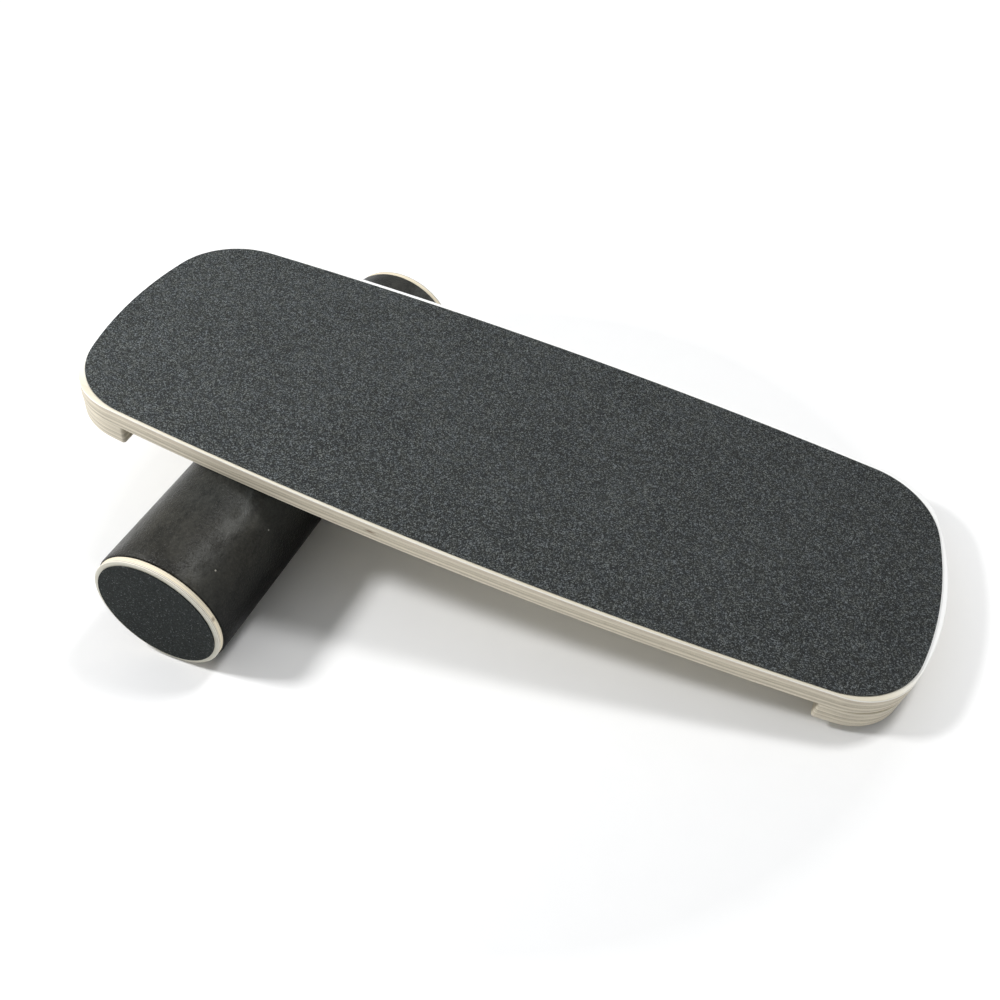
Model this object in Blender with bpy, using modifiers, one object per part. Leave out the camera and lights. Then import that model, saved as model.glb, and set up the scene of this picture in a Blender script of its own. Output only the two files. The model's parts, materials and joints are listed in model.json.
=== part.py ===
"""Balance board: a plywood deck with an abrasive top sheet and a stop block under each end,
leaning across a foam-covered roller with its right end on the floor.

Metres, +Z up. +Y runs along the roller, from its front end to its back end. +X points to the
deck's low, right-hand end. The origin is on the floor, in the middle of the object's box.
The deck's own frame has x along the deck, y across it and z = 0 on its top face.
"""

import math

import bmesh
import bpy
from mathutils import Matrix, Vector

GAP = 0.0003                    # air left between pieces that touch

# Deck: a plate whose ends and sides are arcs, joined by corner arcs
DECK_LENGTH = 0.750
DECK_WIDTH = 0.278
DECK_THICKNESS = 0.0172
DECK_END_RADIUS = 0.265
DECK_SIDE_RADIUS = 3.9
DECK_CORNER_RADIUS = 0.060
EDGE_ROUND = 0.0008             # roundover on the deck's and the blocks' edges

# Grip sheet, stuck on a little off centre
GRIP_LENGTH = 0.737
GRIP_WIDTH = 0.271
GRIP_THICKNESS = 0.0008
GRIP_END_RADIUS = 0.337
GRIP_CORNER_RADIUS = 0.069
GRIP_SHIFT = (0.001, -0.0015)

# Stop blocks: the deck's end outline, cut off by a straight inner face
BLOCK_THICKNESS = 0.0176
BLOCK_INSET = 0.0005            # how far the blocks stand back from the deck's edge
BLOCK_CORNER_ROUND = 0.0025     # upright corners of the inner face
BLOCK_FACE_LEFT = 0.295         # inner faces, measured from the deck's middle
BLOCK_FACE_RIGHT = 0.2975
BLOCK_CORNER_LEFT = 0.060       # radius of each block's outer corners
BLOCK_CORNER_RIGHT = 0.0522     # sanded less, so it stands a little proud of the deck's corner

# Roller, turned about its axis
ROLLER_LENGTH = 0.426           # over both end grips
SLEEVE_RADIUS = 0.0579
SLEEVE_WALL = 0.003
SLEEVE_EDGE_ROUND = 0.001
DISC_RADIUS = 0.0565
DISC_THICKNESS = 0.0062
DISC_EDGE_ROUND = 0.0008
END_GRIP_RADIUS = 0.0527
END_GRIP_THICKNESS = 0.0008
TURNING_CLEARANCE = 0.0006      # between the sleeve, the core tube and the plugs
CORE_WALL = 0.0032
PLUG_LENGTH = 0.022

# Countersunk screws that hold each block, driven from below
SCREW_LENGTH = 0.028
SCREW_HEAD_RADIUS = 0.0042
SCREW_HEAD_HEIGHT = 0.0026
SCREW_HEAD_RIM = 0.0003         # straight part of the head, above its cone
SCREW_SHANK_RADIUS = 0.0019
SCREW_TIP_LENGTH = 0.005
SCREW_SINK = 0.0005             # head below the block's underside
SCREW_INSET = 0.034             # from the block's inner face
SCREW_PLACES_Y = (-0.102, -0.036, 0.036, 0.102)
SCREW_TURN = math.radians(25)   # each screw's recess is turned this much from the one before
SCREW_HOLE_MOUTH = 0.002        # how far the hole's cutter stands out of the block
RECESS_WIDTH = 0.0011
RECESS_SPAN = 0.0046
RECESS_DEPTH = 0.0016

# How the deck lies on the roller
DECK_YAW = math.radians(1.87)   # the roller sits slightly askew under the deck
ROLLER_CROSSING = -0.188        # x where the roller's axis passes under the deck's centre line
ROLLER_MIDDLE = -0.028          # the roller's middle, along its axis from that crossing

# Smoothness
ROUND_STEPS = 64
SCREW_STEPS = 16
END_STEPS = 12
CORNER_STEPS = 10
SIDE_STEPS = 3
ROUNDING_STEPS = 3
SHARP_ANGLE = math.radians(35)
MERGE_DISTANCE = 0.00001


def clear_scene():
    for obj in list(bpy.data.objects):
        bpy.data.objects.remove(obj, do_unlink=True)


def new_collection(name):
    collection = bpy.data.collections.new(name)
    bpy.context.scene.collection.children.link(collection)
    return collection


def make_material(name, colour, roughness, metallic=0.0):
    material = bpy.data.materials.new(name)
    material.use_nodes = True
    shader = material.node_tree.nodes["Principled BSDF"]
    shader.inputs["Base Color"].default_value = (*colour, 1.0)
    shader.inputs["Roughness"].default_value = roughness
    shader.inputs["Metallic"].default_value = metallic
    return material


def make_empty(name, matrix, parent=None):
    empty = bpy.data.objects.new(name, None)
    parts.objects.link(empty)
    empty.parent = parent
    empty.matrix_local = matrix
    empty.empty_display_size = 0.05
    return empty


def add_object(name, mesh, collection, parent, location=(0, 0, 0), rotation=(0, 0, 0)):
    obj = bpy.data.objects.new(name, mesh)
    collection.objects.link(obj)
    obj.parent = parent
    obj.location = location
    obj.rotation_euler = rotation
    return obj


def hide_cutter(cutter):
    cutter.hide_render = True
    cutter.display_type = "WIRE"


def shade_round(mesh):
    mesh.shade_smooth()
    mesh.set_sharp_from_angle(angle=SHARP_ANGLE)


# ---- flat pieces ----

def arc(centre, radius, start, end, steps):
    """Points from angle start to angle end, both included."""
    angles = [start + (end - start) * i / steps for i in range(steps + 1)]
    return [centre + radius * Vector((math.cos(a), math.sin(a))) for a in angles]


def corner_quarter(length, width, end_radius, side_radius, corner_radius):
    """A quarter of a plate's outline, from the middle of its right end to the middle of its back side."""
    end_centre = Vector((length / 2 - end_radius, 0.0))
    side_centre = Vector((0.0, width / 2 - side_radius))
    to_side = side_centre - end_centre
    reach_end = end_radius - corner_radius
    reach_side = side_radius - corner_radius
    distance = to_side.length
    along = (distance**2 + reach_end**2 - reach_side**2) / (2 * distance)
    across = math.sqrt(reach_end**2 - along**2)
    direction = to_side.normalized()
    corner_centre = end_centre + along * direction + across * Vector((-direction.y, direction.x))
    end_angle = math.atan2(*reversed(corner_centre - end_centre))
    side_angle = math.atan2(*reversed(corner_centre - side_centre))
    return (
        arc(end_centre, end_radius, 0.0, end_angle, END_STEPS)
        + arc(corner_centre, corner_radius, end_angle, side_angle, CORNER_STEPS)[1:]
        + arc(side_centre, side_radius, side_angle, math.pi / 2, SIDE_STEPS)[1:]
    )


def plate_outline(length, width, end_radius, corner_radius, inset=0.0):
    """The whole outline, moved inwards by inset."""
    quarter = corner_quarter(
        length - 2 * inset,
        width - 2 * inset,
        end_radius - inset,
        DECK_SIDE_RADIUS - inset,
        corner_radius - inset,
    )
    right_back = quarter
    left_back = [Vector((-p.x, p.y)) for p in reversed(quarter[:-1])]
    left_front = [-p for p in quarter[1:]]
    right_front = [Vector((p.x, -p.y)) for p in reversed(quarter[1:-1])]
    return right_back + left_back + left_front + right_front


def deck_outline(inset=0.0):
    return plate_outline(DECK_LENGTH, DECK_WIDTH, DECK_END_RADIUS, DECK_CORNER_RADIUS, inset)


def grip_outline():
    shift = Vector(GRIP_SHIFT)
    outline = plate_outline(GRIP_LENGTH, GRIP_WIDTH, GRIP_END_RADIUS, GRIP_CORNER_RADIUS)
    return [p + shift for p in outline]


def block_outline(face, corner_radius, inset):
    """The deck's right end beyond x = face, with the two upright corners of the inner face rounded."""
    plan = plate_outline(DECK_LENGTH, DECK_WIDTH, DECK_END_RADIUS, corner_radius, BLOCK_INSET + inset)
    face += inset
    radius = BLOCK_CORNER_ROUND - inset
    end = sorted((p for p in plan if p.x > face + radius), key=lambda p: p.y)
    side = end[-1].y + (face + radius - end[-1].x) * (end[-2].y - end[-1].y) / (end[-2].x - end[-1].x)
    back_centre = Vector((face + radius, side - radius))
    front_centre = Vector((face + radius, radius - side))
    back_corner = arc(back_centre, radius, math.pi / 2, math.pi, ROUNDING_STEPS)
    front_corner = arc(front_centre, radius, math.pi, math.pi * 1.5, ROUNDING_STEPS)
    return end + back_corner + front_corner


def plate_mesh(name, outline, thickness, edge_round=0.0):
    """A plate on a flat outline with z = 0 on its top face. The roundover adds edge_round all round."""
    curve = bpy.data.curves.new(name, "CURVE")
    curve.dimensions = "2D"
    curve.fill_mode = "BOTH"
    curve.extrude = thickness / 2 - edge_round
    curve.bevel_depth = edge_round
    curve.bevel_resolution = 1
    spline = curve.splines.new("POLY")
    spline.points.add(len(outline) - 1)
    for point, place in zip(spline.points, outline):
        point.co = (place.x, place.y, 0.0, 1.0)
    spline.use_cyclic_u = True
    guide = bpy.data.objects.new(name, curve)
    cutters.objects.link(guide)
    bpy.context.view_layer.update()
    mesh = bpy.data.meshes.new_from_object(guide.evaluated_get(bpy.context.evaluated_depsgraph_get()))
    bpy.data.objects.remove(guide)
    shape = bmesh.new()
    shape.from_mesh(mesh)
    bmesh.ops.remove_doubles(shape, verts=shape.verts, dist=MERGE_DISTANCE)
    bmesh.ops.translate(shape, verts=shape.verts, vec=(0, 0, -thickness / 2))
    bmesh.ops.recalc_face_normals(shape, faces=shape.faces)
    shape.to_mesh(mesh)
    shape.free()
    mesh.name = name
    shade_round(mesh)
    return mesh


def cut(obj, collection):
    """Takes a collection of cutters away from an object."""
    modifier = obj.modifiers.new("screw holes", "BOOLEAN")
    modifier.operation = "DIFFERENCE"
    modifier.operand_type = "COLLECTION"
    modifier.collection = collection
    modifier.solver = "EXACT"


# ---- turned pieces ----

def turned(name, profile, collection, parent, material=None, steps=ROUND_STEPS, ring=False):
    """Turns a profile of (radius, z) points about the local Z axis. A ring's profile closes on itself."""
    mesh = bpy.data.meshes.new(name)
    shape = bmesh.new()
    points = [shape.verts.new((radius, 0.0, z)) for radius, z in profile]
    for first, second in zip(points, points[1:]):
        shape.edges.new((first, second))
    if ring:
        shape.edges.new((points[-1], points[0]))
    shape.to_mesh(mesh)
    shape.free()
    obj = add_object(name, mesh, collection, parent)
    screw = obj.modifiers.new("turn", "SCREW")
    screw.axis = "Z"
    screw.steps = steps
    screw.render_steps = steps
    screw.use_merge_vertices = True
    screw.merge_threshold = MERGE_DISTANCE
    screw.use_smooth_shade = True
    if material:
        mesh.materials.append(material)
    return obj


def rounded_corner(radius, z, rounding, top):
    """The rounded outer corner of a turned profile, met from above when top is true."""
    centre = Vector((radius - rounding, z - rounding if top else z + rounding))
    start, end = (math.pi / 2, 0.0) if top else (0.0, -math.pi / 2)
    return [tuple(p) for p in arc(centre, rounding, start, end, ROUNDING_STEPS)]


def build_sleeve(axis):
    half = ROLLER_LENGTH / 2 - END_GRIP_THICKNESS - DISC_THICKNESS - 2 * GAP
    inner = SLEEVE_RADIUS - SLEEVE_WALL
    profile = [(inner, half)]
    profile += rounded_corner(SLEEVE_RADIUS, half, SLEEVE_EDGE_ROUND, True)
    profile += rounded_corner(SLEEVE_RADIUS, -half, SLEEVE_EDGE_ROUND, False)
    profile += [(inner, -half)]
    turned("foam_sleeve", profile, parts, axis, foam, ring=True)


def build_core(axis):
    outer = (SLEEVE_RADIUS - SLEEVE_WALL) * math.cos(math.pi / ROUND_STEPS) - TURNING_CLEARANCE
    inner = outer - CORE_WALL
    half = ROLLER_LENGTH / 2 - END_GRIP_THICKNESS - DISC_THICKNESS - 4 * GAP
    profile = [(inner, half), (outer, half), (outer, -half), (inner, -half)]
    turned("core_tube", profile, parts, axis, pipe_plastic, ring=True)
    plug_radius = inner * math.cos(math.pi / ROUND_STEPS) - TURNING_CLEARANCE
    for place, side in ends(axis, "end_plug", half - GAP):
        profile = [(0.0, 0.0), (plug_radius, 0.0), (plug_radius, -PLUG_LENGTH), (0.0, -PLUG_LENGTH)]
        turned(f"end_plug_{side}", profile, parts, place, plug_wood)


def build_roller_ends(axis):
    grip_outer = ROLLER_LENGTH / 2
    disc_outer = grip_outer - END_GRIP_THICKNESS - GAP
    for place, side in ends(axis, "end_grip", grip_outer):
        profile = [(0.0, 0.0), (END_GRIP_RADIUS, 0.0)]
        profile += [(END_GRIP_RADIUS, -END_GRIP_THICKNESS), (0.0, -END_GRIP_THICKNESS)]
        turned(f"end_grip_{side}", profile, parts, place, grip_black)
    for place, side in ends(axis, "end_disc", disc_outer):
        profile = [(0.0, 0.0)]
        profile += rounded_corner(DISC_RADIUS, 0.0, DISC_EDGE_ROUND, True)
        profile += rounded_corner(DISC_RADIUS, -DISC_THICKNESS, DISC_EDGE_ROUND, False)
        profile += [(0.0, -DISC_THICKNESS)]
        turned(f"end_disc_{side}", profile, parts, place, plywood)


def ends(axis, piece, reach):
    """A frame at each end of the roller, reach from its middle, with local Z pointing outwards."""
    for side, turn in (("back", 0.0), ("front", math.pi)):
        matrix = Matrix.Rotation(turn, 4, "X") @ Matrix.Translation((0, 0, reach))
        yield make_empty(f"{piece}_{side}_place", matrix, axis), side


# ---- screws ----

def screw_profile(grow=0.0, head_top=0.0):
    """Half section of a countersunk screw: head at z = 0, tip at -SCREW_LENGTH, all radii larger by grow."""
    shank_end = SCREW_TIP_LENGTH - SCREW_LENGTH
    return [
        (0.0, head_top),
        (SCREW_HEAD_RADIUS + grow, head_top),
        (SCREW_HEAD_RADIUS + grow, -SCREW_HEAD_RIM - grow),
        (SCREW_SHANK_RADIUS + grow, -SCREW_HEAD_HEIGHT - grow),
        (SCREW_SHANK_RADIUS + grow, shank_end - grow),
        (0.0, -SCREW_LENGTH - 2 * grow),
    ]


def screw_mesh():
    """The screw with its cross recess cut, as one plain mesh that all screws share."""
    blank = turned("screw_blank", screw_profile(), cutters, None, steps=SCREW_STEPS)
    for turn in (0.0, math.pi / 2):
        bpy.ops.mesh.primitive_cube_add(size=1)
        slot = bpy.context.object
        slot.name = "recess_cutter"
        slot.scale = (RECESS_SPAN, RECESS_WIDTH, 2 * RECESS_DEPTH)
        slot.rotation_euler = (0, 0, turn)
        bpy.context.view_layer.update()
        recess = blank.modifiers.new("recess", "BOOLEAN")
        recess.operation = "DIFFERENCE"
        recess.object = slot
        recess.solver = "EXACT"
    bpy.context.view_layer.update()
    mesh = bpy.data.meshes.new_from_object(blank.evaluated_get(bpy.context.evaluated_depsgraph_get()))
    mesh.name = "stop_screw"
    for used in [m.object for m in blank.modifiers if m.type == "BOOLEAN"]:
        bpy.data.objects.remove(used)
    bpy.data.objects.remove(blank)
    mesh.materials.append(steel)
    shade_round(mesh)
    return mesh


def build_screws(deck_frame, name, side, inner_face, mesh):
    """The four screws of one block, and the collection of cutters that make their holes."""
    holes = bpy.data.collections.new(f"{name}_holes")
    cutters.children.link(holes)
    under = -(DECK_THICKNESS + GAP + BLOCK_THICKNESS)
    for number, y in enumerate(SCREW_PLACES_Y, start=1):
        x = side * (inner_face + SCREW_INSET)
        place = (x, y, under + SCREW_SINK)
        head_down = (math.pi, 0.0, SCREW_TURN * number)
        add_object(f"stop_screw_{name}_{number}", mesh, parts, deck_frame, place, head_down)
        hole = screw_profile(GAP, SCREW_HOLE_MOUTH)
        cutter = turned(f"hole_{name}_{number}", hole, holes, deck_frame, steps=SCREW_STEPS)
        cutter.location = place
        cutter.rotation_euler = head_down
        hide_cutter(cutter)
    return holes


# ---- deck ----

def build_deck(deck_frame):
    panel = add_object(
        "deck_panel",
        plate_mesh("deck_panel", deck_outline(EDGE_ROUND), DECK_THICKNESS, EDGE_ROUND),
        parts,
        deck_frame,
    )
    panel.data.materials.append(plywood)
    sheet = add_object(
        "grip_sheet",
        plate_mesh("grip_sheet", grip_outline(), GRIP_THICKNESS),
        parts,
        deck_frame,
        (0, 0, GRIP_THICKNESS + GAP),
    )
    sheet.data.materials.append(grip_black)
    mesh = screw_mesh()
    left = ("left", -1, BLOCK_FACE_LEFT, BLOCK_CORNER_LEFT)
    right = ("right", 1, BLOCK_FACE_RIGHT, BLOCK_CORNER_RIGHT)
    for name, side, inner_face, corner_radius in (left, right):
        outline = block_outline(inner_face, corner_radius, EDGE_ROUND)
        if side < 0:
            outline = [-p for p in outline]
        block = add_object(
            f"stop_block_{name}",
            plate_mesh(f"stop_block_{name}", outline, BLOCK_THICKNESS, EDGE_ROUND),
            parts,
            deck_frame,
            (0, 0, -DECK_THICKNESS - GAP),
        )
        block.data.materials.append(plywood)
        holes = build_screws(deck_frame, name, side, inner_face, mesh)
        cut(block, holes)
        cut(panel, holes)


# ---- the pose: the deck rests on the roller and its right-hand stop block touches the floor ----

def deck_pose():
    """(tilt, roller x, place of the deck's middle in the tilted frame that is centred on the roller)."""
    reach = (DECK_LENGTH / 2 - DECK_END_RADIUS) * math.cos(DECK_YAW) + DECK_END_RADIUS
    roller_u = ROLLER_CROSSING * math.cos(DECK_YAW)
    roller_z = -(DECK_THICKNESS + GAP + SLEEVE_RADIUS)
    edge_u = reach - BLOCK_INSET - EDGE_ROUND
    edge_z = -(DECK_THICKNESS + GAP + BLOCK_THICKNESS) + EDGE_ROUND
    across, up = edge_u - roller_u, edge_z - roller_z
    tilt = math.atan2(up, across) + math.asin((SLEEVE_RADIUS - EDGE_ROUND) / math.hypot(across, up))

    def x_of(u, z):
        return (u - roller_u) * math.cos(tilt) + (z - roller_z) * math.sin(tilt)

    right = x_of(reach - EDGE_ROUND, -EDGE_ROUND) + EDGE_ROUND
    left = x_of(-edge_u, edge_z) - EDGE_ROUND
    roller_y = ROLLER_CROSSING * math.sin(DECK_YAW) + ROLLER_MIDDLE
    return tilt, -(left + right) / 2, Vector((-roller_u, -roller_y, -roller_z))


def build():
    tilt, roller_x, deck_place = deck_pose()
    roller_centre = Matrix.Translation((roller_x, 0.0, SLEEVE_RADIUS))
    axis = make_empty("roller_axis", roller_centre @ Matrix.Rotation(-math.pi / 2, 4, "X"))
    pivot = make_empty("tilt_pivot", roller_centre @ Matrix.Rotation(tilt, 4, "Y"))
    deck_matrix = Matrix.Translation(deck_place) @ Matrix.Rotation(DECK_YAW, 4, "Z")
    deck_frame = make_empty("deck_frame", deck_matrix, pivot)
    build_core(axis)
    build_sleeve(axis)
    build_roller_ends(axis)
    build_deck(deck_frame)
    bpy.context.view_layer.update()


clear_scene()
parts = new_collection("balance_board")
cutters = new_collection("cutters")
plywood = make_material("birch_plywood", (0.72, 0.62, 0.47), 0.55)
grip_black = make_material("abrasive_grip", (0.055, 0.060, 0.060), 0.85)
foam = make_material("charcoal_foam", (0.050, 0.050, 0.047), 0.60)
pipe_plastic = make_material("pipe_plastic", (0.33, 0.34, 0.35), 0.50)
plug_wood = make_material("plug_wood", (0.60, 0.48, 0.34), 0.70)
steel = make_material("zinc_steel", (0.60, 0.59, 0.56), 0.35, 1.0)
build()
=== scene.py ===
import json
import math

import bmesh
import bpy
from mathutils import Matrix, Vector, noise


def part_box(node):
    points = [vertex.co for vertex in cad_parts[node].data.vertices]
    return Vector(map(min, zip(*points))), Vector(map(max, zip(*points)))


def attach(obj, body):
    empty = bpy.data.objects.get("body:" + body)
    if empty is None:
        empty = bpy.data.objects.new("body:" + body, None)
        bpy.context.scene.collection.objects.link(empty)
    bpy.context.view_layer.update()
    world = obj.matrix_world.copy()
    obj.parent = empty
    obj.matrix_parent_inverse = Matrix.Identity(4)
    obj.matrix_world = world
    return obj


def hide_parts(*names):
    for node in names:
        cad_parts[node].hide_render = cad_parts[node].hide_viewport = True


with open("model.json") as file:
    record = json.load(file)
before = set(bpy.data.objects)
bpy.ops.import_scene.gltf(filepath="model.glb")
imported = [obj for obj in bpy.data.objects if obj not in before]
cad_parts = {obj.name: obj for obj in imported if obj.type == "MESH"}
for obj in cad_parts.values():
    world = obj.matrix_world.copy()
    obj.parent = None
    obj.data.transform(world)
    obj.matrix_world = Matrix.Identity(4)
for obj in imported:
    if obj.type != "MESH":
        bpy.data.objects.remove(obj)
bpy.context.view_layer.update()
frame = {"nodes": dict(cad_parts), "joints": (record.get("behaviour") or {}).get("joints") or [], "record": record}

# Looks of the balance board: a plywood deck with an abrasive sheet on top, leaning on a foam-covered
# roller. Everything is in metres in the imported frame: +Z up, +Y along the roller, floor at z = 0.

record = frame["record"]
nodes = frame["nodes"]
mounts = {mount["name"]: mount for mount in record["mounts"]}
joints = {joint["name"]: joint for joint in frame["joints"]}

# ---- the deck's own frame: x along it, y across it, z = 0 on the plywood's top face ----

SHEET_THICKNESS = 0.0008
GAP = 0.0003
UP = Vector(mounts["foot_surface"]["axis"]).normalized()
LEFT_FOOT = Vector(mounts["left_block_underside"]["pos_m"])
RIGHT_FOOT = Vector(mounts["right_block_underside"]["pos_m"])
ALONG = (RIGHT_FOOT - LEFT_FOOT).normalized()
ACROSS = UP.cross(ALONG)
TOP_MIDDLE = Vector(mounts["foot_surface"]["pos_m"]) - UP * (SHEET_THICKNESS + GAP)
DECK = Matrix.Translation(TOP_MIDDLE) @ Matrix((ALONG, ACROSS, UP)).transposed().to_4x4()

# ---- shapes ----

DECK_LENGTH = 0.750
DECK_WIDTH = 0.278
DECK_THICKNESS = 0.0172
DECK_END_RADIUS = 0.265
DECK_SIDE_RADIUS = 3.9
DECK_CORNER_RADIUS = 0.060
EDGE_ROUND = 0.0008
SHEET_LENGTH = 0.737
SHEET_WIDTH = 0.271
SHEET_END_RADIUS = 0.337
SHEET_CORNER_RADIUS = 0.069
SHEET_SHIFT = Vector((0.001, -0.0015))
SHEET_ROUND = 0.0002
BLOCK_THICKNESS = 0.0176
BLOCK_INSET = 0.0005
BLOCK_CORNER_ROUND = 0.0025
BLOCK_CORNER_STEPS = 8
BLOCKS = {"left": (-1, 0.295, 0.060), "right": (1, 0.2975, 0.0522)}   # side, inner face, corner radius
SCREW_INSET = 0.034
SCREW_PLACES_Y = (-0.102, -0.036, 0.036, 0.102)
SCREW_TURN = 25   # degrees from one screw's recess to the next one's
SCREW_SINK = 0.0005
SCREW_LENGTH = 0.028
SCREW_HEAD_RADIUS = 0.0042
SCREW_HEAD_HEIGHT = 0.0026
SCREW_RIM_HEIGHT = 0.0003
SCREW_RIM_CHAMFER = (0.0002, 0.0001)   # inwards, down
SCREW_SHANK_RADIUS = 0.0019
SCREW_TIP_LENGTH = 0.005
SCREW_TIP_RADIUS = 0.0002
RECESS_SPAN = 0.0046
RECESS_WIDTH = 0.0011
RECESS_DEPTH = 0.002
RECESS_TAPER = 0.45   # share of the span left at the recess's floor
HOLE_MOUTH = 0.002    # how far a hole's cutter starts outside the wood
SCREW_SEGMENTS = 32
ROLLER_SEGMENTS = 160
FOAM_THICKNESS = 0.003
FOAM_EDGE_REACH = 0.001   # where the rounding of the foam's end edge begins
FOAM_EDGE_ROUND = 0.0003
FOAM_RINGS = 36
FOAM_UNEVENNESS = 0.00012
FOAM_WAVES = (2, 18)   # how fast the unevenness changes round the sleeve and along it
DISC_ROUND = 0.0008
END_GRIP_ROUND = 0.0002


def arc(centre, radius, start, end, steps):
    angles = [start + (end - start) * i / steps for i in range(steps + 1)]
    return [centre + radius * Vector((math.cos(a), math.sin(a))) for a in angles]


def plate_outline(length, width, end_radius, corner_radius, inset=0.0, steps=40):
    """A plate's outline moved inwards by inset: arcs at the ends and sides, joined by corner arcs."""
    length, width = length - 2 * inset, width - 2 * inset
    side_radius = DECK_SIDE_RADIUS - inset
    end_radius -= inset
    corner_radius -= inset
    end_centre = Vector((length / 2 - end_radius, 0.0))
    side_centre = Vector((0.0, width / 2 - side_radius))
    to_side = side_centre - end_centre
    reach_end, reach_side = end_radius - corner_radius, side_radius - corner_radius
    along = (to_side.length**2 + reach_end**2 - reach_side**2) / (2 * to_side.length)
    direction = to_side.normalized()
    across = math.sqrt(reach_end**2 - along**2)
    corner_centre = end_centre + along * direction + across * Vector((-direction.y, direction.x))
    end_angle = math.atan2(*reversed(corner_centre - end_centre))
    side_angle = math.atan2(*reversed(corner_centre - side_centre))
    quarter = (
        arc(end_centre, end_radius, 0.0, end_angle, steps)
        + arc(corner_centre, corner_radius, end_angle, side_angle, steps)[1:]
        + arc(side_centre, side_radius, side_angle, math.pi / 2, steps // 4)[1:]
    )
    back = quarter + [Vector((-p.x, p.y)) for p in reversed(quarter[:-1])]
    return back + [Vector((p.x, -p.y)) for p in reversed(back[1:-1])]


def block_outline(face, corner_radius, inset):
    """The plate's right end beyond x = face, with the upright corners of the inner face rounded."""
    plan = plate_outline(DECK_LENGTH, DECK_WIDTH, DECK_END_RADIUS, corner_radius, BLOCK_INSET + inset)
    face += inset
    radius = BLOCK_CORNER_ROUND - inset
    end = sorted((p for p in plan if p.x > face + radius), key=lambda p: p.y)
    side = end[-1].y + (face + radius - end[-1].x) * (end[-2].y - end[-1].y) / (end[-2].x - end[-1].x)
    back_centre, front_centre = Vector((face + radius, side - radius)), Vector((face + radius, radius - side))
    back_corner = arc(back_centre, radius, math.pi / 2, math.pi, BLOCK_CORNER_STEPS)
    front_corner = arc(front_centre, radius, math.pi, math.pi * 1.5, BLOCK_CORNER_STEPS)
    return end + back_corner + front_corner


def skin(name, rings, ring_closed=False, matrix=None):
    """Joins rings of points, each with the same number of points, into one closed smooth mesh."""
    shape = bmesh.new()
    rows = [[shape.verts.new(point) for point in ring] for ring in rings]
    pairs = list(zip(rows, rows[1:]))
    if ring_closed:
        pairs.append((rows[-1], rows[0]))
    for upper, lower in pairs:
        for i in range(len(upper)):
            shape.faces.new((upper[i - 1], upper[i], lower[i], lower[i - 1])).smooth = True
    if not ring_closed:
        for cap in (rows[0], rows[-1][::-1]):
            shape.faces.new(cap)
    bmesh.ops.recalc_face_normals(shape, faces=shape.faces)
    mesh = bpy.data.meshes.new(name)
    shape.to_mesh(mesh)
    shape.free()
    mesh.transform(matrix or Matrix.Identity(4))
    obj = bpy.data.objects.new(name, mesh)
    bpy.context.scene.collection.objects.link(obj)
    return obj


def edge_profile(thickness, rounding, steps=5):
    """(inset, z) down the edge of a plate whose top and bottom edges are rounded over."""
    turn = [math.pi / 2 * i / steps for i in range(steps + 1)]
    top = [(rounding * (1 - math.sin(a)), rounding * (math.cos(a) - 1)) for a in turn]
    top.append((0.0, -1.3 * rounding))   # a row close below the rounding keeps the edge's shading crisp
    return top + [(inset, -thickness - z) for inset, z in reversed(top)]


def make_plate(name, outline, thickness, rounding, matrix, mirrored=False):
    """outline(inset) gives the plan. z = 0 on the plate's top face."""
    side = -1 if mirrored else 1
    rings = []
    for inset, z in edge_profile(thickness, rounding):
        rings.append([(side * p.x, side * p.y, z) for p in outline(inset)])
    return skin(name, rings, matrix=matrix)


def lathe(name, profile, matrix, steps=ROLLER_SEGMENTS, ring_closed=False, swell=None):
    """Turns (radius, z) points about local Z. swell(angle, z) adds to the radius."""
    rings = []
    for radius, z in profile:
        ring = []
        for i in range(steps):
            angle = math.tau * i / steps
            reach = radius + (swell(angle, z) if swell else 0.0)
            ring.append((reach * math.cos(angle), reach * math.sin(angle), z))
        rings.append(ring)
    return skin(name, rings, ring_closed, matrix)


def cut(obj, cutters):
    """Takes the cutters out of obj and removes them."""
    for cutter in cutters:
        modifier = obj.modifiers.new("hole", "BOOLEAN")
        modifier.operation = "DIFFERENCE"
        modifier.solver = "EXACT"
        modifier.object = cutter
    bpy.context.view_layer.update()
    graph = bpy.context.evaluated_depsgraph_get()
    mesh = bpy.data.meshes.new_from_object(obj.evaluated_get(graph))
    obj.modifiers.clear()
    obj.data = mesh
    for cutter in cutters:
        bpy.data.objects.remove(cutter)


def place_piece(obj, body, look, slot, *stands_for):
    obj.data.materials.clear()
    obj.data.materials.append(look)
    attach(obj, body)
    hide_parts(*stands_for)


# ---- pieces ----

BLOCK_TOP = DECK @ Matrix.Translation((0, 0, -DECK_THICKNESS - GAP))
ROLLER_MIDDLE = Vector(joints["roller_spin"]["pos_m"])
SLEEVE_RADIUS = 0.0579


def screw_places(side, face):
    """Frames on a block's underside, one for each screw, with z pointing into the wood."""
    for number, y in enumerate(SCREW_PLACES_Y, start=1):
        x = side * (face + SCREW_INSET)
        place = Matrix.Translation((x, y, -DECK_THICKNESS - GAP - BLOCK_THICKNESS))
        yield number, DECK @ place @ Matrix.Rotation(math.radians(SCREW_TURN * number), 4, "Z")


def make_hole(place):
    """The cutter of one countersunk hole, GAP wider than its screw all round."""
    head, shank = SCREW_HEAD_RADIUS + GAP, SCREW_SHANK_RADIUS + GAP
    cone = SCREW_SINK + SCREW_HEAD_HEIGHT + GAP
    bottom = SCREW_SINK + SCREW_LENGTH + GAP
    profile = [(head, -HOLE_MOUTH), (head, cone - head + shank), (shank, cone), (shank, bottom)]
    return lathe("hole", profile, place, SCREW_SEGMENTS)


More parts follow.
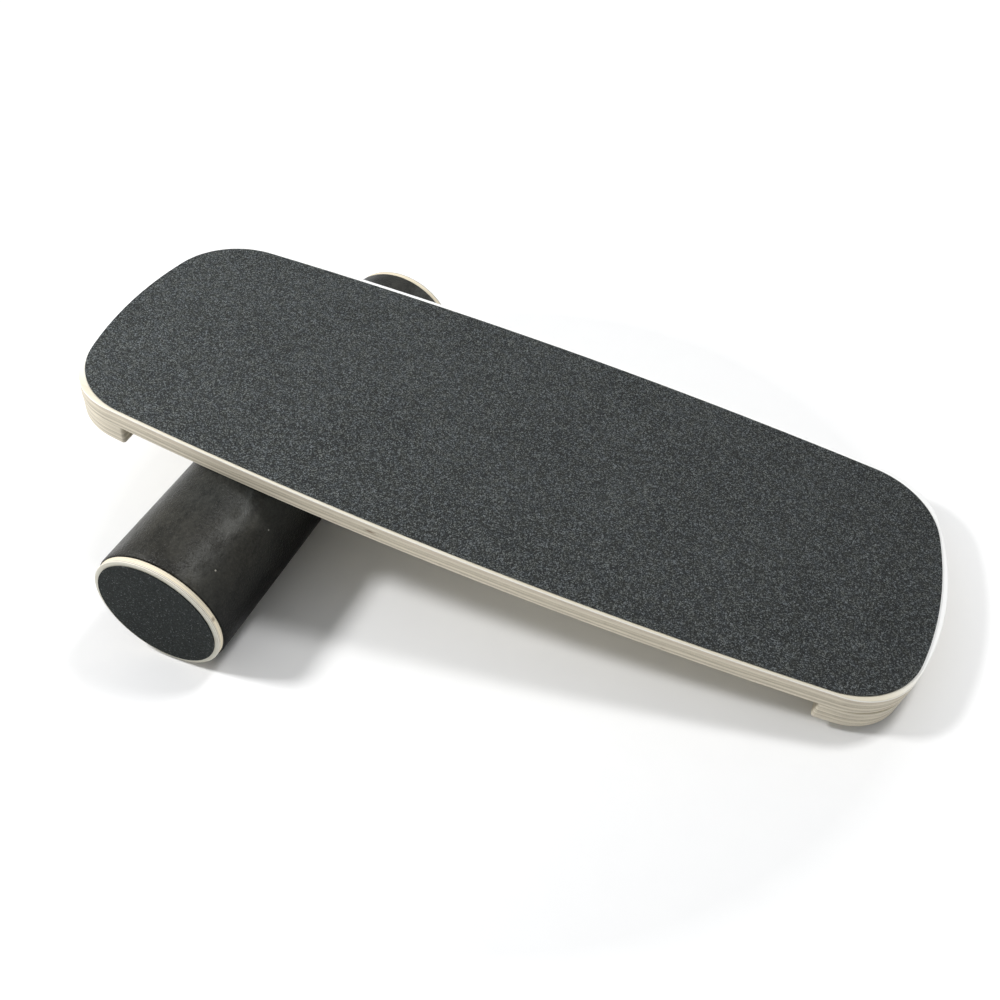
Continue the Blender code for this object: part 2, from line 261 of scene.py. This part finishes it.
def make_screw(name, place, look):
    """A countersunk screw with a cross recess, its head's face SCREW_SINK below the wood's."""
    head, shank = SCREW_HEAD_RADIUS, SCREW_SHANK_RADIUS
    rim, cone = SCREW_SINK + SCREW_RIM_HEIGHT, SCREW_SINK + SCREW_HEAD_HEIGHT
    tip = SCREW_SINK + SCREW_LENGTH
    chamfer_in, chamfer_down = SCREW_RIM_CHAMFER
    profile = [(head - chamfer_in, SCREW_SINK), (head, SCREW_SINK + chamfer_down), (head, rim), (shank, cone)]
    profile += [(shank, tip - SCREW_TIP_LENGTH), (SCREW_TIP_RADIUS, tip)]
    screw = lathe(name, profile, place, SCREW_SEGMENTS)
    recesses = []
    for turn in (0.0, math.pi / 2):
        blade = bmesh.new()
        bmesh.ops.create_cube(blade, size=1)
        for point in blade.verts:
            x, y, z = point.co
            span = RECESS_SPAN * (RECESS_TAPER if z > 0 else 1.0)
            point.co = (x * span, y * RECESS_WIDTH, z * 2 * RECESS_DEPTH)
        mesh = bpy.data.meshes.new("recess")
        blade.to_mesh(mesh)
        blade.free()
        mesh.transform(place @ Matrix.Rotation(turn, 4, "Z") @ Matrix.Translation((0, 0, SCREW_SINK)))
        recess = bpy.data.objects.new("recess", mesh)
        bpy.context.scene.collection.objects.link(recess)
        recesses.append(recess)
    cut(screw, recesses)
    place_piece(screw, "deck", look, "zinc_steel", f"stop_{name}")


def make_deck(looks):
    """The board with its sheet on top, and under each end a block held by four screws."""
    def deck_plan(inset):
        return plate_outline(DECK_LENGTH, DECK_WIDTH, DECK_END_RADIUS, DECK_CORNER_RADIUS, inset)

    def sheet_plan(inset):
        plan = plate_outline(SHEET_LENGTH, SHEET_WIDTH, SHEET_END_RADIUS, SHEET_CORNER_RADIUS, inset)
        return [p + SHEET_SHIFT for p in plan]

    panel = make_plate("deck_board", deck_plan, DECK_THICKNESS, EDGE_ROUND, DECK)
    sheet_top = DECK @ Matrix.Translation((0, 0, SHEET_THICKNESS + GAP))
    sheet = make_plate("top_sheet", sheet_plan, SHEET_THICKNESS, SHEET_ROUND, sheet_top)
    holes = []
    for name, (side, face, corner) in BLOCKS.items():
        block = make_plate(
            f"block_{name}",
            lambda inset: block_outline(face, corner, inset),
            BLOCK_THICKNESS,
            EDGE_ROUND,
            BLOCK_TOP,
            mirrored=side < 0,
        )
        cut(block, [make_hole(place) for _, place in screw_places(side, face)])
        place_piece(block, "deck", looks[f"stop_block_{name}"], "birch_plywood", f"stop_block_{name}")
        holes += [make_hole(place) for _, place in screw_places(side, face)]
        for number, place in screw_places(side, face):
            make_screw(f"screw_{name}_{number}", place, looks["stop_screw"])
    cut(panel, holes)
    place_piece(panel, "deck", looks["deck_panel"], "birch_plywood", "deck_panel")
    place_piece(sheet, "deck", looks["grip_sheet"], "abrasive_grip", "grip_sheet")


END_PARTS = (("end_disc", DISC_ROUND, "birch_plywood"), ("end_grip", END_GRIP_ROUND, "abrasive_grip"))


def make_roller(looks):
    """The sleeve with its two end discs and end grips, sized from the CAD solids' boxes."""
    along = Matrix.Translation(ROLLER_MIDDLE) @ Matrix.Rotation(-math.pi / 2, 4, "X")
    low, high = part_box("foam_sleeve")
    half = (high[1] - low[1]) / 2
    outer = (high[0] - low[0]) / 2
    inner = outer - FOAM_THICKNESS
    around, lengthwise = FOAM_WAVES

    def uneven(angle, z):
        """The wrap's slight unevenness, which stays inside the true radius."""
        place = (around * math.cos(angle), around * math.sin(angle), lengthwise * z)
        return -FOAM_UNEVENNESS * (1 + noise.noise(place))

    shoulder = half - FOAM_EDGE_REACH
    lengths = [shoulder - 2 * shoulder * i / FOAM_RINGS for i in range(FOAM_RINGS + 1)]
    rounded, edge = outer - FOAM_EDGE_ROUND, half - FOAM_EDGE_ROUND
    profile = [(inner, half), (outer - FOAM_EDGE_REACH, half), (rounded, edge)]
    profile += [(outer, z) for z in lengths]
    profile += [(rounded, -edge), (outer - FOAM_EDGE_REACH, -half), (inner, -half)]
    sleeve = lathe("roller_sleeve", profile, along, ring_closed=True, swell=uneven)
    place_piece(sleeve, "roller", looks["foam_sleeve"], "charcoal_foam", "foam_sleeve")
    for side, sign in (("front", -1), ("back", 1)):
        turn = Matrix.Rotation(0 if sign > 0 else math.pi, 4, "X")
        for node, rounding, slot in END_PARTS:
            low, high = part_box(f"{node}_{side}")
            radius = (high[0] - low[0]) / 2
            face = max(abs(low[1]), abs(high[1]))
            rings = [(radius - inset, face + z) for inset, z in edge_profile(high[1] - low[1], rounding)]
            piece = lathe(f"roller_{node}_{side}", rings, along @ turn)
            place_piece(piece, "roller", looks[f"{node}_{side}"], slot, f"{node}_{side}")


# ---- camera: the photograph's viewpoint ----

CAMERA_PLACE = (0.2743, -0.5746, 0.6859)
CAMERA_TURN = tuple(math.radians(a) for a in (45.360, 1.873, 23.154))
CAMERA_LENS = 37.6
CAMERA_SENSOR = 36


def make_camera():
    data = bpy.data.cameras.new("camera")
    data.lens = CAMERA_LENS
    data.sensor_width = CAMERA_SENSOR
    camera = bpy.data.objects.new("camera", data)
    camera.location = CAMERA_PLACE
    camera.rotation_euler = CAMERA_TURN
    bpy.context.scene.collection.objects.link(camera)
    bpy.context.scene.camera = camera


# ---- shader building ----


class Shader:
    """Builds one material's node tree."""

    def __init__(self, name):
        self.material = bpy.data.materials.new(name)
        self.material.use_nodes = True
        self.tree = self.material.node_tree
        self.surface = self.tree.nodes["Principled BSDF"]

    def add(self, kind, **settings):
        node = self.tree.nodes.new("ShaderNode" + kind)
        for key, value in settings.items():
            setattr(node, key, value)
        return node

    def feed(self, socket, value):
        """Links a socket into another, or sets it to a plain value."""
        if isinstance(value, bpy.types.NodeSocket):
            self.tree.links.new(value, socket)
        else:
            socket.default_value = value

    def local(self, place=None, name="Object"):
        """Position on the piece, in the frame that place gives."""
        position = self.add("TexCoord").outputs[name]
        if place is None:
            return position
        mapping = self.add("Mapping", vector_type="TEXTURE")
        self.feed(mapping.inputs["Vector"], position)
        mapping.inputs["Location"].default_value = place.translation
        mapping.inputs["Rotation"].default_value = place.to_euler()
        return mapping.outputs[0]

    def stretched(self, position, scale):
        mapping = self.add("Mapping")
        self.feed(mapping.inputs["Vector"], position)
        mapping.inputs["Scale"].default_value = scale
        return mapping.outputs[0]

    def noise(self, position, scale, detail=2.0, roughness=0.5, distortion=0.0):
        node = self.add("TexNoise")
        self.feed(node.inputs["Vector"], position)
        node.inputs["Scale"].default_value = scale
        node.inputs["Detail"].default_value = detail
        node.inputs["Roughness"].default_value = roughness
        node.inputs["Distortion"].default_value = distortion
        return node.outputs["Fac"]

    def cells(self, position, scale, output="Color"):
        node = self.add("TexVoronoi", feature="F1")
        self.feed(node.inputs["Vector"], position)
        node.inputs["Scale"].default_value = scale
        return node.outputs[output]

    def math(self, operation, first, second=0.5, clamp=False):
        node = self.add("Math", operation=operation, use_clamp=clamp)
        self.feed(node.inputs[0], first)
        self.feed(node.inputs[1], second)
        return node.outputs[0]

    def spread(self, value, low, high, to_low=0.0, to_high=1.0):
        """Maps low..high to to_low..to_high, held at both ends."""
        node = self.add("MapRange")
        for socket, number in zip(node.inputs[:5], (value, low, high, to_low, to_high)):
            self.feed(socket, number)
        return node.outputs[0]

    def measure(self, operation, vector, other=None):
        """The number that a vector operation gives, such as a distance or a length."""
        node = self.add("VectorMath", operation=operation)
        self.feed(node.inputs[0], vector)
        if other is not None:
            node.inputs[1].default_value = other
        return node.outputs["Value"]

    def ramp(self, value, stops):
        node = self.add("ValToRGB")
        while len(node.color_ramp.elements) < len(stops):
            node.color_ramp.elements.new(0.5)
        for element, (place, colour) in zip(node.color_ramp.elements, stops):
            element.position = place
            element.color = (*colour, 1.0)
        self.feed(node.inputs[0], value)
        return node.outputs[0]

    def mix(self, factor, first, second, blend="MIX"):
        node = self.add("Mix", data_type="RGBA", blend_type=blend)
        self.feed(node.inputs[0], factor)
        self.feed(node.inputs[6], first if isinstance(first, bpy.types.NodeSocket) else (*first, 1.0))
        self.feed(node.inputs[7], second if isinstance(second, bpy.types.NodeSocket) else (*second, 1.0))
        return node.outputs[2]

    def shade(self, colour, factor):
        """Multiplies a colour by a grey value."""
        return self.mix(1.0, colour, self.grey(factor), "MULTIPLY")

    def grey(self, value):
        node = self.add("CombineColor")
        for socket in node.inputs:
            self.feed(socket, value)
        return node.outputs[0]

    def split(self, vector):
        node = self.add("SeparateXYZ")
        self.feed(node.inputs[0], vector)
        return node.outputs

    def bump(self, height, distance, strength=1.0, after=None):
        node = self.add("Bump")
        self.feed(node.inputs["Height"], height)
        node.inputs["Distance"].default_value = distance
        node.inputs["Strength"].default_value = strength
        if after is not None:
            self.feed(node.inputs["Normal"], after)
        return node.outputs[0]

    def finish(self, colour, roughness, normal=None, specular=0.5, metallic=0.0):
        inputs = self.surface.inputs
        self.feed(inputs["Base Color"], colour)
        self.feed(inputs["Roughness"], roughness)
        inputs["Specular IOR Level"].default_value = specular
        inputs["Metallic"].default_value = metallic
        if normal is not None:
            self.feed(inputs["Normal"], normal)
        return self.material


# ---- materials ----

# Colours of the plies, under even light
PALE = (0.68, 0.62, 0.505)
ROSY = (0.58, 0.505, 0.405)
BEIGE = (0.61, 0.55, 0.44)
TAN = (0.54, 0.485, 0.38)
DUSK = (0.47, 0.42, 0.325)
CREAM = (0.90, 0.80, 0.60)
GLUE = (0.36, 0.30, 0.22)
WHITE = (0.84, 0.80, 0.70)

# Plies down an edge, each a share of the thickness below the top face and a colour
PLIES = (
    (0.00, ROSY), (0.19, ROSY), (0.25, BEIGE), (0.295, PALE), (0.345, PALE), (0.40, TAN),
    (0.47, TAN), (0.50, BEIGE), (0.53, TAN), (0.57, DUSK), (0.62, DUSK), (0.67, PALE),
    (0.73, PALE), (0.77, BEIGE), (0.80, DUSK), (0.86, DUSK), (0.90, PALE), (0.95, PALE),
    (1.00, BEIGE),
)
BLOCK_PLIES = (
    (0.00, BEIGE), (0.10, PALE), (0.14, PALE), (0.18, TAN), (0.34, BEIGE), (0.38, PALE),
    (0.42, PALE), (0.45, DUSK), (0.52, TAN), (0.60, TAN), (0.66, PALE), (0.72, PALE),
    (0.76, TAN), (0.82, TAN), (0.87, PALE), (1.00, BEIGE),
)
DISC_PLIES = (
    (0.00, BEIGE), (0.06, WHITE), (0.11, WHITE), (0.15, GLUE), (0.18, GLUE), (0.22, WHITE),
    (0.30, WHITE), (0.34, DUSK), (0.39, CREAM), (0.60, CREAM), (0.70, PALE), (0.82, CREAM),
    (0.90, TAN), (1.00, CREAM),
)
VENEER_PALE = (0.78, 0.735, 0.61)
VENEER_WARM = (0.68, 0.61, 0.465)
VENEER_GREYED = (0.90, 0.94, 1.0)
VENEER_GLARE = (0.97, 0.97, 0.955)   # the photo is overexposed along the deck's far margin
VENEER_RIM_AND_HIGHLIGHT = (0.95, 0.93, 0.86)
RIM_WIDTH = 0.0012
PLUG_THICKNESS = 0.03   # over which an end plug's plies are spread
FLECK = (0.22, 0.16, 0.11)

# Dark marks, each a middle, a size and a share of FLECK: a knot and short streaks on the deck's front edge,
# and a dark spot of painted shade where each end disc's edge has a dent
DECK_MARKS = (
    ((-0.064, -0.139, -0.0087), (0.0060, 0.004, 0.0015), 1.0),
    ((-0.283, -0.135, -0.0090), (0.014, 0.012, 0.0009), 0.45),
    ((0.118, -0.139, -0.0140), (0.005, 0.004, 0.0005), 0.5),
    ((-0.105, -0.139, -0.0096), (0.006, 0.004, 0.0005), 0.4),
    ((0.205, -0.137, -0.0092), (0.004, 0.004, 0.0004), 0.4),
)
DISC_MARKS = (((0.0546, 0.0146, -0.0035), (0.0035, 0.0030, 0.0022), 0.75),)

# Abrasives: the resin's colour, the grains' colour and the width of a cluster of grains
SHEET_GRIT = ((0.0015, 0.0017, 0.0018), (0.156, 0.170, 0.170), 0.00078)
END_GRIT = ((0.004, 0.0056, 0.0053), (0.022, 0.029, 0.0275), 0.0008)
GLINT = (0.25, 0.27, 0.275)
# painted light falloff along the deck's sheet: how far from the middle its ends are, and the share of colour kept
# at each end, brighter at the left end
FALLOFF_REACH = 0.36
SHEET_PAINTED_FALLOFF = (1.05, 0.82)

# Foam, and two pale specks on it, each an angle from the top towards the low end and a place along the roller
FOAM_DARK = (0.017, 0.018, 0.017)
FOAM_LIGHT = (0.058, 0.060, 0.055)
# the colour of a painted sheen, a patchy highlight band along the sleeve
FOAM_SHEEN = (0.088, 0.094, 0.094)
FOAM_MOTE = (0.45, 0.45, 0.43)
FOAM_SPECK = (0.50, 0.50, 0.47)
# where the painted sheen band lies, as an angle from the top towards the low end
SHEEN_ANGLE = 0.66
SPECKS = ((0.87, -0.181), (1.10, -0.121))
SPECK_RADIUS = (0.0009, 0.0005)   # where a speck begins to show, and where it is whole


def plywood(name, place, thickness, plies=PLIES, marks=(), contrast=1.0, rim=0.0, tint=1.0, glare=False):
    """Birch plywood with its top face at z = 0 of place, and plies that show on the edges.

    marks are dark spots on the edges, each a middle, a size and a share, in the frame of place.
    contrast scales the fibres and pores on the edges.
    rim is the width of the pale line where the top face's veneer shows on the edge, whitened further as a painted
    highlight where the rounded edge catches the light.
    tint below 1 greys the faces. The last argument paints glare: it whitens the top face, except along its front
    edge, as painted overexposed light.
    """
    s = Shader(name)
    position = s.local(place)
    _, y, z = s.split(position)
    wander = s.noise(s.stretched(position, (8, 8, 60)), scale=1.0, detail=3.0)
    wander = s.spread(wander, 0.25, 0.75, -0.06, 0.06)
    depth = s.math("ADD", s.math("MULTIPLY", z, -1 / thickness), wander)
    edge = s.ramp(depth, plies)
    bright = s.split(edge)[0]
    # long-grain plies show fine lines along the edge, and end-grain plies show pores
    fibres = s.noise(s.stretched(position, (35, 35, 1500)), scale=1.0, detail=5.0, roughness=0.65)
    pores = s.noise(position, scale=1100.0, detail=2.0, roughness=0.8)
    long_grain = s.spread(bright, 0.56, 0.66)
    lines = s.spread(fibres, 0.3, 0.7, -0.21 * contrast, 0.19 * contrast)
    dots = s.spread(pores, 0.3, 0.7, -0.12 * contrast, 0.12 * contrast)
    change = s.mix(long_grain, s.math("ADD", dots, lines), lines)
    edge = s.shade(edge, s.math("ADD", s.split(change)[0], 1.0))
    # short dark dashes in the dark plies
    dashes = s.noise(s.stretched(position, (110, 110, 1100)), scale=1.0, detail=1.0, roughness=0.4)
    dark_plies = s.spread(bright, 0.58, 0.52)
    edge = s.mix(s.math("MULTIPLY", s.spread(dashes, 0.67, 0.76, 0.0, 0.75), dark_plies), edge, FLECK)
    # partly painted highlight: the face veneer's pale line at the top of the edge is whitened where the rounded
    # edge catches the light
    if rim:
        edge = s.mix(s.spread(z, -1.6 * rim, -0.8 * rim), edge, VENEER_RIM_AND_HIGHLIGHT)
    for middle, size, share in marks:
        near = s.stretched(position, tuple(1 / a for a in size))
        away = s.measure("DISTANCE", near, [a / b for a, b in zip(middle, size)])
        edge = s.mix(s.spread(away, 1.0, 0.25, 0.0, share), edge, FLECK)
    # the faces' veneer has long grain and a slow figure
    narrow, wide = s.stretched(position, (6, 90, 6)), s.stretched(position, (2.5, 14, 2.5))
    grain = s.noise(narrow, scale=1.0, detail=6.0, roughness=0.62, distortion=0.8)
    figure = s.noise(wide, scale=1.0, detail=4.0, roughness=0.5, distortion=1.2)
    veneer = s.math("ADD", s.math("MULTIPLY", grain, 0.6), s.math("MULTIPLY", figure, 0.4))
    face = s.mix(s.spread(veneer, 0.38, 0.64), VENEER_PALE, VENEER_WARM)
    if tint < 1:
        face = s.mix(1.0, face, tuple(channel * tint for channel in VENEER_GREYED), "MULTIPLY")
    # painted highlight: overexposed glare whitens the top face, except along its front edge
    if glare:
        top = s.spread(z, -0.004, -0.002)
        behind_front = s.spread(y, -0.115, -0.07)
        face = s.mix(s.math("MULTIPLY", top, behind_front), face, VENEER_GLARE)
    facing = s.measure("DOT_PRODUCT", s.local(name="Normal"), place.to_3x3() @ Vector((0, 0, 1)))
    flat = s.spread(s.math("ABSOLUTE", facing), 0.5, 0.8)
    colour = s.mix(flat, edge, face)
    relief = s.math("ADD", s.math("MULTIPLY", bright, 0.3), s.math("MULTIPLY", fibres, 0.5))
    relief = s.bump(relief, distance=0.0002, strength=0.25)
    return s.finish(colour, s.spread(fibres, 0.2, 0.8, 0.52, 0.66), relief, specular=0.3)


def abrasive(name, dark, light, grit, place=None, variation=(), glint=0.9):
    """Grit set in black resin. dark is the resin, light the grains, and grit the width of a cluster of them.

    variation is the share of the colour kept at either end of place's x axis, FALLOFF_REACH from its middle: a
    painted falloff of the light along the sheet.
    glint is how strongly the brightest grains show.
    """
    s = Shader(name)
    position = s.local(place)
    clusters = s.noise(position, scale=0.7 / grit, detail=2.0, roughness=0.7, distortion=0.3)
    grains = s.split(s.cells(position, scale=1 / grit))
    patches = s.noise(position, scale=14.0, detail=3.0, roughness=0.55, distortion=0.5)
    tone = s.math("ADD", s.math("MULTIPLY", s.spread(clusters, 0.38, 0.64), 0.17), 0.065)
    tone = s.math("ADD", tone, s.math("MULTIPLY", s.math("POWER", grains[0], 5.0), 1.15))
    tone = s.math("ADD", tone, s.spread(patches, 0.3, 0.7, -0.025, 0.025), clamp=True)
    colour = s.mix(tone, dark, light)
    # painted light falloff: the colour is scaled from one end of the x axis to the other
    if variation:
        colour = s.shade(colour, s.spread(s.split(position)[0], -FALLOFF_REACH, FALLOFF_REACH, *variation))
    tints = s.noise(position, scale=150.0, detail=2.0, roughness=0.6)
    tints = s.mix(s.spread(tints, 0.38, 0.62), (0.97, 0.99, 1.03), (1.02, 1.01, 0.96))
    colour = s.mix(1.0, colour, tints, "MULTIPLY")
    sparkle = s.math("MULTIPLY", s.spread(grains[1], 0.93, 0.98), s.spread(grains[2], 0.2, 0.9, 0.1, glint))
    colour = s.mix(sparkle, colour, GLINT)
    height = s.math("ADD", s.math("MULTIPLY", grains[0], 0.6), s.math("MULTIPLY", clusters, 0.6))
    relief = s.bump(height, distance=grit, strength=0.7)
    return s.finish(colour, s.spread(grains[1], 0.0, 1.0, 0.95, 0.75), relief, specular=0.25)


def foam(name):
    """Closed-cell foam with a dull skin: faint pitting, cloudy patches, a painted sheen band along it, specks, and
    painted shade towards the floor.
    """
    s = Shader(name)
    position = s.local()
    drawn_out = s.stretched(position, (1, 0.6, 1))
    skin_noise = s.noise(position, scale=420.0, detail=3.0, roughness=0.6)
    clouds = s.noise(drawn_out, scale=30.0, detail=5.0, roughness=0.65, distortion=0.6)
    scuffs = s.noise(s.stretched(position, (70, 22, 70)), scale=1.0, detail=5.0, roughness=0.7)
    tone = s.math("ADD", s.spread(clouds, 0.3, 0.7, 0.0, 0.6), s.spread(skin_noise, 0.3, 0.7, -0.22, 0.28))
    tone = s.math("ADD", tone, s.spread(scuffs, 0.50, 0.75, 0.0, 0.5), clamp=True)
    colour = s.mix(tone, FOAM_DARK, FOAM_LIGHT)
    # a painted sheen: a patchy highlight band runs along the side towards the deck's low end
    x, _, z = s.split(position)
    turn = s.math("ARCTAN2", s.math("SUBTRACT", x, ROLLER_MIDDLE.x), s.math("SUBTRACT", z, ROLLER_MIDDLE.z))
    band = s.spread(s.math("ABSOLUTE", s.math("SUBTRACT", turn, SHEEN_ANGLE)), 0.22, 0.03)
    sheen = s.noise(s.stretched(position, (75, 45, 75)), scale=1.0, detail=5.0, roughness=0.70)
    sheen = s.math("MULTIPLY", band, s.spread(sheen, 0.43, 0.62))
    colour = s.mix(s.math("MULTIPLY", sheen, 0.85), colour, FOAM_SHEEN)
    for angle, along in SPECKS:
        speck_place = ROLLER_MIDDLE + SLEEVE_RADIUS * Vector((math.sin(angle), 0.0, math.cos(angle)))
        away = s.measure("DISTANCE", position, (speck_place.x, along, speck_place.z))
        colour = s.mix(s.spread(away, *SPECK_RADIUS, 0.0, 0.8), colour, FOAM_SPECK)
    # painted shade: the colour darkens as the surface turns from up towards the floor, to a small share where it
    # faces down
    up = s.split(s.local(name="Normal"))[2]
    colour = s.shade(colour, s.spread(up, -0.05, 0.67, 0.06, 1.0))
    warm = s.spread(s.noise(position, scale=7.0, detail=2.0), 0.4, 0.65)
    colour = s.mix(0.7, colour, s.mix(warm, (0.97, 1.0, 1.02), (1.12, 1.0, 0.86)), "MULTIPLY")
    near_mote = s.spread(s.cells(position, scale=70.0, output="Distance"), 0.08, 0.04)
    chance = s.spread(s.split(s.cells(position, scale=70.0))[0], 0.93, 0.95)
    colour = s.mix(s.math("MULTIPLY", s.math("MULTIPLY", near_mote, chance), 0.9), colour, FOAM_MOTE)
    pits = s.spread(s.cells(position, scale=700.0, output="Distance"), 0.0, 0.5)
    height = s.math("ADD", s.math("MULTIPLY", skin_noise, 0.7), s.math("MULTIPLY", pits, 0.3))
    dull = s.math("ADD", s.spread(clouds, 0.3, 0.7, 0.34, 0.46), s.spread(scuffs, 0.35, 0.7, -0.08, 0.08))
    swells = s.bump(clouds, distance=0.0012, strength=0.4)
    s.finish(colour, dull, s.bump(height, distance=0.0009, strength=0.8, after=swells))
    s.feed(s.surface.inputs["Specular IOR Level"], s.spread(up, -0.3, 0.5, 0.03, 0.2))
    return s.material


def steel(name):
    """Zinc-plated steel, a little uneven."""
    s = Shader(name)
    position = s.local()
    variation = s.noise(position, scale=900.0, detail=4.0, roughness=0.6)
    colour = s.mix(s.spread(variation, 0.35, 0.7), (0.50, 0.49, 0.46), (0.66, 0.65, 0.62))
    relief = s.bump(variation, distance=0.0001, strength=0.2)
    return s.finish(colour, s.spread(variation, 0.3, 0.7, 0.28, 0.45), relief, metallic=1.0)


def pipe(name):
    """Grey plastic pipe with faint streaks along it."""
    s = Shader(name)
    position = s.local()
    streaks = s.noise(s.stretched(position, (60, 2, 60)), scale=5.0, detail=3.0)
    colour = s.mix(s.spread(streaks, 0.3, 0.7), (0.30, 0.31, 0.32), (0.36, 0.37, 0.38))
    relief = s.bump(streaks, distance=0.0002, strength=0.2)
    return s.finish(colour, s.spread(streaks, 0.3, 0.7, 0.42, 0.55), relief)


def make_looks():
    """One material for each CAD node, or for a kind of node."""
    looks = {
        "deck_panel": plywood(
            "deck_plywood", DECK, DECK_THICKNESS, marks=DECK_MARKS, rim=RIM_WIDTH, glare=True
        ),
        "stop_block_left": plywood("left_block_plywood", BLOCK_TOP, BLOCK_THICKNESS, BLOCK_PLIES),
        "stop_block_right": plywood("right_block_plywood", BLOCK_TOP, BLOCK_THICKNESS, BLOCK_PLIES),
        "grip_sheet": abrasive("deck_grip", *SHEET_GRIT, place=DECK, variation=SHEET_PAINTED_FALLOFF),
        "foam_sleeve": foam("charcoal_foam"),
        "stop_screw": steel("zinc_steel"),
        "core_tube": pipe("grey_pipe"),
    }
    for side, turn in (("front", math.pi / 2), ("back", -math.pi / 2)):
        low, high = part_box(f"end_disc_{side}")
        outer = low[1] if side == "front" else high[1]
        place = Matrix.Translation((ROLLER_MIDDLE.x, outer, ROLLER_MIDDLE.z)) @ Matrix.Rotation(turn, 4, "X")
        looks[f"end_disc_{side}"] = plywood(
            f"disc_plywood_{side}", place, high[1] - low[1], DISC_PLIES, DISC_MARKS, contrast=0.5, tint=0.95
        )
        looks[f"end_plug_{side}"] = plywood(f"plug_plywood_{side}", place, PLUG_THICKNESS)
        looks[f"end_grip_{side}"] = abrasive(f"end_grip_{side}", *END_GRIT, glint=0.45)
    return looks


def dress_cad(looks):
    """Materials for the CAD solids that stay in view."""
    for name in ("core_tube", "end_plug_front", "end_plug_back"):
        for slot in nodes[name].material_slots:
            slot.material = looks[name]


# ---- studio ----

FLOOR_SIZE = 40
PAPER_DARK = (0.92, 0.92, 0.92)
PAPER_LIGHT = (0.94, 0.94, 0.94)
GLOWS = ((0.36, 0.48, 0.32), (0.60, 1.5, 0.22))   # distance where each begins, where it is whole, strength
SKY_COLOUR = (0.965, 0.985, 1.0, 1.0)
SKY_STRENGTH = 0.38
LIGHTS = (   # name, place, side of the square, watts
    ("key_left", (-0.89, -0.43, 1.1), 0.22, 13.0),
    ("key_back", (0.66, 0.62, 1.85), 0.40, 16.0),
)


def make_light(name, place, side, watts):
    """A square lamp that points at the origin."""
    data = bpy.data.lights.new(name, "AREA")
    data.shape = "RECTANGLE"
    data.size = data.size_y = side
    data.energy = watts
    light = bpy.data.objects.new(name, data)
    light.location = place
    light.rotation_euler = (-Vector(place)).to_track_quat("-Z", "Y").to_euler()
    bpy.context.scene.collection.objects.link(light)


def make_studio():
    bpy.ops.mesh.primitive_plane_add(size=FLOOR_SIZE)
    floor = bpy.context.object
    floor.name = "floor"
    s = Shader("floor_paper")
    speckle = s.noise(s.local(), scale=40.0, detail=3.0)
    s.finish(s.mix(speckle, PAPER_DARK, PAPER_LIGHT), 0.7, specular=0.2)
    # painted light: the paper glows, more with distance from the object, which lightens the shadows past the
    # deck's ends and whitens the far floor
    far = s.measure("LENGTH", s.local())
    s.surface.inputs["Emission Color"].default_value = (1, 1, 1, 1)
    near_glow, far_glow = (s.spread(far, begins, whole, 0.0, strength) for begins, whole, strength in GLOWS)
    s.feed(s.surface.inputs["Emission Strength"], s.math("ADD", near_glow, far_glow))
    floor.data.materials.append(s.material)
    world = bpy.data.worlds.new("studio")
    world.use_nodes = True
    background = world.node_tree.nodes["Background"]
    background.inputs["Color"].default_value = SKY_COLOUR
    background.inputs["Strength"].default_value = SKY_STRENGTH
    bpy.context.scene.world = world
    for light in LIGHTS:
        make_light(*light)
    bpy.context.scene.view_settings.view_transform = "Standard"


make_camera()
looks = make_looks()
make_deck(looks)
make_roller(looks)
dress_cad(looks)
make_studio()
